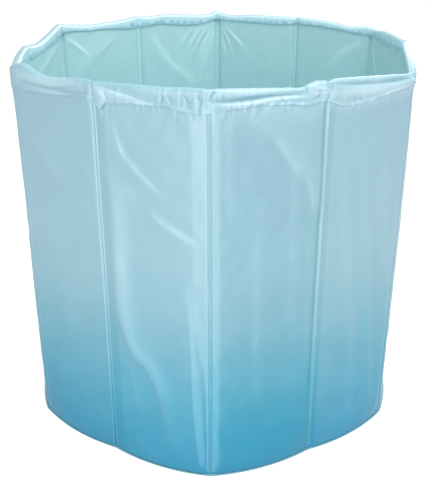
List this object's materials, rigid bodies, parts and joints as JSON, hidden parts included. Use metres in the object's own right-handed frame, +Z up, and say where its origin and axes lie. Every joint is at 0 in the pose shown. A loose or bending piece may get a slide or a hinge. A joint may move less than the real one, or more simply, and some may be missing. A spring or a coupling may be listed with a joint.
{
  "type": "foldable bathtub",
  "caption": "Free-standing folding soft bathtub: board-stiffened cloth wall panels hinged at welded seams, hemmed rim, soft padded floor and a low drain with a push-in stopper.",
  "frame": {"origin": "underside of the floor, in the middle of the ring of walls", "axes": "+Z up, +Y from the front seam to the rear seam, the tub's longer way across"},
  "size_m": [0.6971, 0.7282, 0.65],
  "materials": {
    "outer_skin": "satin",
    "liner": "satin",
    "rim_hem": "satin",
    "base_sheet": "satin",
    "board": "matte",
    "foam": "matte",
    "drain_plastic": "gloss",
    "gasket_rubber": "matte",
    "stopper": "satin"
  },
  "bodies": {
    "wall_01": {"outer_skin_01": "outer_skin", "board_01": "board", "liner_01": "liner", "rim_hem_01": "rim_hem"},
    "wall_02": {"outer_skin_02": "outer_skin", "board_02": "board", "liner_02": "liner", "rim_hem_02": "rim_hem"},
    "wall_03": {"outer_skin_03": "outer_skin", "board_03": "board", "liner_03": "liner", "rim_hem_03": "rim_hem"},
    "wall_04": {"outer_skin_04": "outer_skin", "board_04": "board", "liner_04": "liner", "rim_hem_04": "rim_hem"},
    "wall_05": {"outer_skin_05": "outer_skin", "board_05": "board", "liner_05": "liner", "rim_hem_05": "rim_hem"},
    "wall_06": {"outer_skin_06": "outer_skin", "board_06": "board", "liner_06": "liner", "rim_hem_06": "rim_hem"},
    "wall_07": {"outer_skin_07": "outer_skin", "board_07": "board", "liner_07": "liner", "rim_hem_07": "rim_hem"},
    "wall_08": {"outer_skin_08": "outer_skin", "board_08": "board", "liner_08": "liner", "rim_hem_08": "rim_hem"},
    "wall_09": {"outer_skin_09": "outer_skin", "board_09": "board", "liner_09": "liner", "rim_hem_09": "rim_hem", "base_sheet": "base_sheet", "floor_pad": "foam", "floor_liner": "liner", "drain_nozzle": "drain_plastic", "drain_gasket": "gasket_rubber", "drain_nut": "drain_plastic"},
    "wall_10": {"outer_skin_10": "outer_skin", "board_10": "board", "liner_10": "liner", "rim_hem_10": "rim_hem"},
    "wall_11": {"outer_skin_11": "outer_skin", "board_11": "board", "liner_11": "liner", "rim_hem_11": "rim_hem"},
    "wall_12": {"outer_skin_12": "outer_skin", "board_12": "board", "liner_12": "liner", "rim_hem_12": "rim_hem"},
    "stopper": {"drain_stopper": "stopper"}
  },
  "joints": [
    {"name": "wall_fold", "type": "hinge", "parent": "wall_09", "child": "wall_08", "pos_m": [0.30354, 0.17525, 0.3], "axis": [0, 0, 1], "range_deg": [0, 120], "deforming": ["base_sheet", "floor_pad", "floor_liner"]},
    {"name": "seam_07_fold", "type": "hinge", "parent": "wall_08", "child": "wall_07", "pos_m": [0.16986, 0.29421, 0.3], "axis": [0, 0, 1], "range_deg": [-178, 0]},
    {"name": "seam_06_fold", "type": "hinge", "parent": "wall_07", "child": "wall_06", "pos_m": [0, 0.3505, 0.3], "axis": [0, 0, 1], "range_deg": [0, 129]},
    {"name": "seam_05_fold", "type": "hinge", "parent": "wall_06", "child": "wall_05", "pos_m": [-0.16986, 0.29421, 0.3], "axis": [0, 0, 1], "range_deg": [-178, 0]},
    {"name": "seam_04_fold", "type": "hinge", "parent": "wall_05", "child": "wall_04", "pos_m": [-0.30354, 0.17525, 0.3], "axis": [0, 0, 1], "range_deg": [0, 120]},
    {"name": "seam_09_fold", "type": "hinge", "parent": "wall_09", "child": "wall_10", "pos_m": [0.33972, 0, 0.3], "axis": [0, 0, -1], "range_deg": [-13, 0]},
    {"name": "seam_10_fold", "type": "hinge", "parent": "wall_10", "child": "wall_11", "pos_m": [0.30354, -0.17525, 0.3], "axis": [0, 0, -1], "range_deg": [0, 120]},
    {"name": "seam_11_fold", "type": "hinge", "parent": "wall_11", "child": "wall_12", "pos_m": [0.16986, -0.29421, 0.3], "axis": [0, 0, -1], "range_deg": [-178, 0]},
    {"name": "seam_00_fold", "type": "hinge", "parent": "wall_12", "child": "wall_01", "pos_m": [0, -0.3505, 0.3], "axis": [0, 0, -1], "range_deg": [0, 129]},
    {"name": "seam_01_fold", "type": "hinge", "parent": "wall_01", "child": "wall_02", "pos_m": [-0.16986, -0.29421, 0.3], "axis": [0, 0, -1], "range_deg": [-178, 0]},
    {"name": "seam_02_fold", "type": "hinge", "parent": "wall_02", "child": "wall_03", "pos_m": [-0.30354, -0.17525, 0.3], "axis": [0, 0, -1], "range_deg": [0, 120]},
    {"name": "stopper_pull", "type": "slide", "parent": "wall_09", "child": "stopper", "axis": [0.9914, 0.1305, 0], "range_m": [0, 0.026]}
  ],
  "couplings": [
    {"joint": "seam_07_fold", "follows": "wall_fold", "ratio": -1.4833},
    {"joint": "seam_06_fold", "follows": "wall_fold", "ratio": 1.075},
    {"joint": "seam_05_fold", "follows": "wall_fold", "ratio": -1.4833},
    {"joint": "seam_04_fold", "follows": "wall_fold", "ratio": 1},
    {"joint": "seam_09_fold", "follows": "wall_fold", "ratio": -0.10833},
    {"joint": "seam_10_fold", "follows": "wall_fold", "ratio": 1},
    {"joint": "seam_11_fold", "follows": "wall_fold", "ratio": -1.4833},
    {"joint": "seam_00_fold", "follows": "wall_fold", "ratio": 1.075},
    {"joint": "seam_01_fold", "follows": "wall_fold", "ratio": -1.4833},
    {"joint": "seam_02_fold", "follows": "wall_fold", "ratio": 1}
  ]
}
